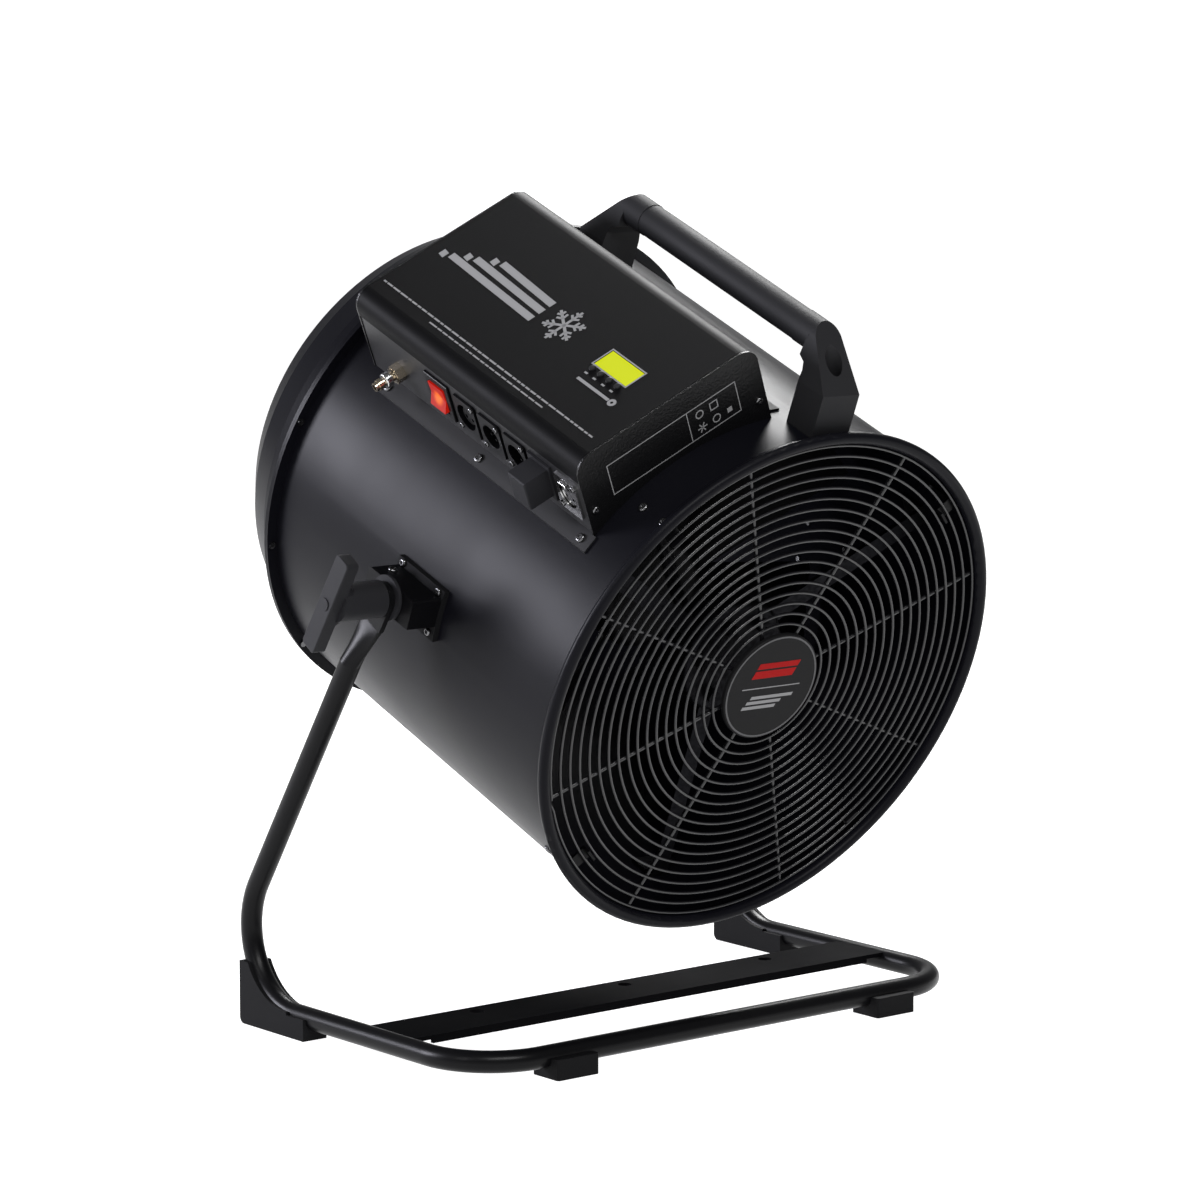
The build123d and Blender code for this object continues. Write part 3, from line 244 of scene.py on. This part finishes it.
def vary(tree, socket, fac, low, high):
    """Drive a shader's number from low to high with the middle of a noise's range."""
    ramp = tree.nodes.new("ShaderNodeMapRange")
    ramp.inputs["From Min"].default_value = 0.3
    ramp.inputs["From Max"].default_value = 0.7
    ramp.inputs["To Min"].default_value = low
    ramp.inputs["To Max"].default_value = high
    tree.links.new(fac, ramp.inputs["Value"])
    tree.links.new(ramp.outputs["Result"], socket)


def coated(name, level, blue, rough, spec, grain, depth, bump, spread):
    """Powder coat: fine orange peel with patches of slightly different gloss."""
    mat, tree, shader = principled(name, (level, level, blue), rough)
    shader.inputs["Specular IOR Level"].default_value = spec
    add_bump(tree, shader, noise(tree, grain), bump, depth)
    patches = noise(tree, GLOSS_PATCHES, 4)
    vary(tree, shader.inputs["Roughness"], patches, rough - spread, rough + spread)
    return mat


def wrinkled(name, color, rough, spec):
    """Leathery wrinkle coat: rounded cells roughened by fine noise."""
    mat, tree, shader = principled(name, color, rough)
    shader.inputs["Specular IOR Level"].default_value = spec
    source = tree.nodes.new("ShaderNodeTexCoord")
    cells = tree.nodes.new("ShaderNodeTexVoronoi")
    cells.feature = "SMOOTH_F1"
    cells.inputs["Scale"].default_value = WRINKLE_CELLS
    tree.links.new(source.outputs["Object"], cells.inputs["Vector"])
    mix = tree.nodes.new("ShaderNodeMath")
    mix.operation = "ADD"
    tree.links.new(cells.outputs["Distance"], mix.inputs[0])
    tree.links.new(noise(tree, WRINKLE_NOISE, 3), mix.inputs[1])
    add_bump(tree, shader, mix.outputs["Value"], 0.8, WRINKLE_DEPTH)
    return mat


def metal(name, color, rough):
    """Bare or plated metal, smeared and finely scratched."""
    mat, tree, shader = principled(name, color, rough)
    shader.inputs["Metallic"].default_value = 1.0
    smears = noise(tree, METAL_SMEARS, 3)
    vary(tree, shader.inputs["Roughness"], smears, rough * 0.7, rough * 1.4)
    add_bump(tree, shader, noise(tree, METAL_SCRATCHES), 0.12, SCRATCH_DEPTH)
    return mat


def plain(name, color, rough, spec):
    mat, _, shader = principled(name, color, rough)
    shader.inputs["Specular IOR Level"].default_value = spec
    return mat


def glowing(name, color, glow, strength, rough):
    """A surface that gives off an even light."""
    mat, _, shader = principled(name, color, rough)
    shader.inputs["Emission Color"].default_value = (*glow, 1)
    shader.inputs["Emission Strength"].default_value = strength
    return mat


def lamp_place():
    """The middle of the rocker's lit face, in metres."""
    low, high = extent("switch_body", BOX)
    middle = (low + high) / 2
    return BOX @ (Vector((low.x - LAMP_PROUD, middle.y, middle.z)) * MM)


def rocker_glow(name):
    """Red plastic with an orange lamp glowing through its middle."""
    mat = glowing(name, (0.12, 0.002, 0.001), (1, 0.03, 0.01), 0.35, 0.3)
    tree = mat.node_tree
    shader = tree.nodes["Principled BSDF"]
    shader.inputs["Specular IOR Level"].default_value = 0.12
    source = tree.nodes.new("ShaderNodeTexCoord")
    reach = tree.nodes.new("ShaderNodeVectorMath")
    reach.operation = "DISTANCE"
    reach.inputs[1].default_value = lamp_place()
    tree.links.new(source.outputs["Object"], reach.inputs[0])
    near = tree.nodes.new("ShaderNodeMapRange")
    near.interpolation_type = "SMOOTHSTEP"
    near.inputs["From Min"].default_value = LAMP_REACH[0] * MM
    near.inputs["From Max"].default_value = LAMP_REACH[1] * MM
    tree.links.new(reach.outputs["Value"], near.inputs["Value"])
    ramp = tree.nodes.new("ShaderNodeValToRGB")
    ramp.color_ramp.elements[0].color = LAMP_EDGE
    ramp.color_ramp.elements[1].color = LAMP_MIDDLE
    tree.links.new(near.outputs["Result"], ramp.inputs["Fac"])
    tree.links.new(ramp.outputs["Color"], shader.inputs["Emission Color"])
    return mat


def all_finishes():
    finishes = {name: coated(name, *look) for name, look in COATS.items()}
    finishes.update({name: metal(name, *look) for name, look in METALS.items()})
    finishes.update({name: plain(name, *look) for name, look in PLAINS.items()})
    finishes["wrinkle_paint"] = wrinkled("wrinkle_paint", WRINKLE_COLOR, 0.34, 0.22)
    finishes["display_glow"] = glowing("display_glow", (0.05, 0.06, 0.002), (0.62, 0.68, 0.006), 0.92, 0.25)
    finishes["red_rocker"] = rocker_glow("red_rocker")
    return finishes


FINISHES = all_finishes()


def paint_bore_shade(mesh):
    """Give the faces of the shell's bore the barrel's colour with almost no gloss: painted shade inside the
    barrel.
    """
    mesh.materials.append(FINISHES["bore_painted_shade"])
    into_barrel = BARREL.inverted()
    for polygon in mesh.polygons:
        centre = into_barrel @ polygon.center
        if math.hypot(centre.x, centre.z) < BORE_LIMIT * MM:
            polygon.material_index = 1


def dress_nodes():
    """Give every CAD node its slot's finish, the strap its own, and the bore painted shade."""
    slots = {part["node"]: part["material_slot"] for part in frame["record"]["subparts"]}
    for name, obj in NODES.items():
        obj.data.materials.clear()
        obj.data.materials.append(FINISHES[slots[name]])
    NODES["cross_strap"].data.materials[0] = FINISHES["strap_paint"]
    paint_bore_shade(NODES["barrel_shell"].data)


# ---------------------------------------------------------------- flat pieces
def piece(name, verts, faces, finish, where):
    """A mesh that rides on the barrel."""
    mesh = bpy.data.meshes.new(name)
    mesh.from_pydata(verts, [], faces)
    mesh.materials.append(FINISHES[finish])
    obj = bpy.data.objects.new(name, mesh)
    bpy.context.scene.collection.objects.link(obj)
    obj.matrix_world = where
    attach(obj, "barrel")


def inked(name, outlines, finish, where):
    """Convex outlines raised as thin ink on the frame's xy plane."""
    verts, faces = [], []
    for outline in outlines:
        n, start = len(outline), len(verts)
        for height in (-PRINT_SINK, PRINT):
            verts += [(x * MM, y * MM, height * MM) for x, y in outline]
        faces.append(tuple(range(start + n, start + 2 * n)))
        faces.append(tuple(reversed(range(start, start + n))))
        for k in range(n):
            j = (k + 1) % n
            faces.append((start + k, start + j, start + n + j, start + n + k))
    piece(name, verts, faces, finish, where)


def bar(x0, x1, y0, y1, lean=0.0):
    """Rectangle whose far edge is pushed along x by the lean."""
    return [(x0, y0), (x1, y0), (x1 + lean, y1), (x0 + lean, y1)]


def border(x0, x1, y0, y1, line):
    return [
        bar(x0, x1, y0, y0 + line),
        bar(x0, x1, y1 - line, y1),
        bar(x0, x0 + line, y0 + line, y1 - line),
        bar(x1 - line, x1, y0 + line, y1 - line),
    ]


def dashes(x0, x1, y0, y1, rng, gap):
    """A row of uneven dashes along y, in place of small print."""
    row, y = [], y0
    while y < y1 - 2:
        end = min(y + rng.uniform(*DASH_LENGTHS), y1)
        row.append(bar(x0, x1, y, end))
        y = end + gap
    return row


def ring(cx, cy, r0, r1, steps=24):
    """Quads round a circle, between two radii."""
    quads = []
    for k in range(steps):
        a, b = (math.radians(360 * step / steps) for step in (k, k + 1))
        corners = ((r0, a), (r1, a), (r1, b), (r0, b))
        quads.append([(cx + r * math.cos(turn), cy + r * math.sin(turn)) for r, turn in corners])
    return quads


def spoke(cx, cy, r0, r1, line, angle):
    """Thin rectangle pointing away from a centre."""
    a = math.radians(angle)
    ux, uy = math.cos(a), math.sin(a)
    px, py = -uy * line / 2, ux * line / 2
    corners = ((r0, -1), (r1, -1), (r1, 1), (r0, 1))
    return [(cx + ux * r + px * side, cy + uy * r + py * side) for r, side in corners]


def snowflake(cx, cy, r, line):
    arms = []
    for angle in range(0, 360, 60):
        arms.append(spoke(cx, cy, 0, r, line, angle))
        for at, size in FLAKE_TWIGS:
            bx = cx + r * at * math.cos(math.radians(angle))
            by = cy + r * at * math.sin(math.radians(angle))
            for side in (-TWIG_ANGLE, TWIG_ANGLE):
                arms.append(spoke(bx, by, 0, r * size, line * 0.85, angle + side))
    return arms


def lid_small_print():
    """Frame and ticks round the display, a scale line, and rows in place of small print."""
    rng = random.Random(LID_SEED)
    low, high = extent("display_window", BOX)
    out = FRAME_GAP + WINDOW_FIT
    marks = border(low.x - out, high.x + out, low.y - out, high.y + out, FRAME_LINE)
    for line in LID_LINES:
        marks += dashes(*line, rng, gap=1.2)
    marks += [bar(*SCALE_LINE)] + ring(*SCALE_RING)
    for number in range(1, 5):
        low, high = extent(f"menu_button_{number}", BOX)
        y = (low.y + high.y) / 2
        marks.append(bar(*BUTTON_TICK, y - BUTTON_TICK_HALF, y + BUTTON_TICK_HALF))
    inked("lid_small_print", marks, "ink_grey", LID)


def lid_emblem():
    """Leaning stripes that end in blocks, and a snowflake."""
    bold = []
    for k, stop in enumerate(STRIPE_ENDS):
        x0 = STRIPE_X + STRIPE_PITCH * k
        x1 = x0 + STRIPE_WIDTH
        bold.append(bar(x0, x1, STRIPE_START, stop, 3.0))
        bold.append(bar(x0, x1, stop + STRIPE_TIP[0], stop + STRIPE_TIP[1], 1.0))
    inked("lid_emblem", bold + snowflake(*FLAKE), "ink_grey", LID)


def cap_print():
    """A frame with plain shapes on the box's front end."""
    marks = border(*CAP_FRAME) + [bar(*CAP_DIVIDER)]
    for centre in CAP_RINGS:
        marks += ring(*centre, *CAP_RING)
    marks += border(*CAP_SQUARE)
    marks += [spoke(*CAP_STAR, angle) for angle in (0, 60, 120)]
    marks.append(bar(*CAP_DOT))
    inked("cap_print", marks, "ink_grey", CAP)


def panel_print():
    """Rows of dashes below the sockets; the panel's frame runs the other way along y."""
    rng = random.Random(PANEL_SEED)
    marks = []
    for label in PANEL_LABELS:
        for quad in dashes(*PANEL_LINE, *label, rng, gap=0.9):
            marks.append([(-y, height) for height, y in reversed(quad)])
    inked("panel_print", marks, "ink_dim", PANEL)


def badge_print():
    inked("badge_rim", ring(0, 0, *BADGE_RING, steps=72), "ink_dim", BADGE)
    inked("badge_red", [bar(*block) for block in BADGE_RED], "ink_red", BADGE)
    marks = [bar(*BADGE_RULE)] + [bar(*block) for block in BADGE_BARS]
    inked("badge_marks", marks, "ink_grey", BADGE)


def vent_painted_shade():
    """Near-black sheets behind the shell's cooling slots: painted shade inside the barrel."""
    verts, faces = [], []
    for side in (-VENT_ANGLE, VENT_ANGLE):
        for station in VENT_STATIONS:
            for turn in (-SHADE_SHEET_HALF_ANGLE, SHADE_SHEET_HALF_ANGLE):
                angle = math.radians(side + turn)
                x, z = -SHADE_SHEET_R * math.sin(angle), SHADE_SHEET_R * math.cos(angle)
                for y in (station - SHADE_SHEET_HALF_LENGTH, station + SHADE_SHEET_HALF_LENGTH):
                    verts.append((x * MM, y * MM, z * MM))
            n = len(verts)
            faces.append((n - 4, n - 3, n - 1, n - 2))
    piece("vent_painted_shade", verts, faces, "vent_shade_black", BARREL)


# ---------------------------------------------------------------- studio
def area(name, where, size, power, color):
    light = bpy.data.lights.new(name, "AREA")
    light.shape = "RECTANGLE"
    light.size, light.size_y = size
    light.energy = power
    light.color = color
    obj = bpy.data.objects.new(name, light)
    bpy.context.scene.collection.objects.link(obj)
    obj.location = where
    toward = Vector(AIM) - Vector(where)
    obj.rotation_euler = toward.to_track_quat("-Z", "Y").to_euler()


def plane(name, where, size, level, strength):
    """A glowing plane in the studio."""
    bpy.ops.mesh.primitive_plane_add(size=1, location=where)
    obj = bpy.context.object
    obj.name = name
    obj.scale = (*size, 1)
    obj.data.materials.append(glowing(name, (level,) * 3, WHITE, strength, 1.0))
    return obj


def studio():
    world = bpy.data.worlds.new("studio")
    bpy.context.scene.world = world
    world.use_nodes = True
    background = world.node_tree.nodes["Background"]
    background.inputs["Color"].default_value = (*WHITE, 1)
    background.inputs["Strength"].default_value = WORLD_LIGHT
    floor = plane("floor", (0, 0, 0), (FLOOR_SIZE, FLOOR_SIZE), 0.30, 0.98)
    wall = plane("backdrop", BACKDROP_AT, BACKDROP_SIZE, 0.5, 1.0)
    wall.rotation_euler = (math.radians(90), 0, math.radians(VIEW_TURN))
    for name, look in LIGHTS.items():
        area(name, *look)


def camera():
    cam = bpy.data.cameras.new("camera")
    cam.sensor_width = SENSOR
    cam.lens = LENS
    obj = bpy.data.objects.new("camera", cam)
    bpy.context.scene.collection.objects.link(obj)
    az, el = math.radians(VIEW_TURN), math.radians(VIEW_FALL)
    back = Vector((math.sin(az) * math.cos(el), -math.cos(az) * math.cos(el), math.sin(el)))
    right = Vector((math.cos(az), math.sin(az), 0))
    roll = Matrix.Rotation(math.radians(VIEW_ROLL), 4, "Z")
    obj.matrix_world = shift(*CAMERA_AT) @ facing(right, back.cross(right), back) @ roll
    bpy.context.scene.camera = obj


def main():
    dress_nodes()
    lid_small_print()
    lid_emblem()
    cap_print()
    panel_print()
    badge_print()
    vent_painted_shade()
    studio()
    camera()
    bpy.context.scene.view_settings.view_transform = "Standard"


main()
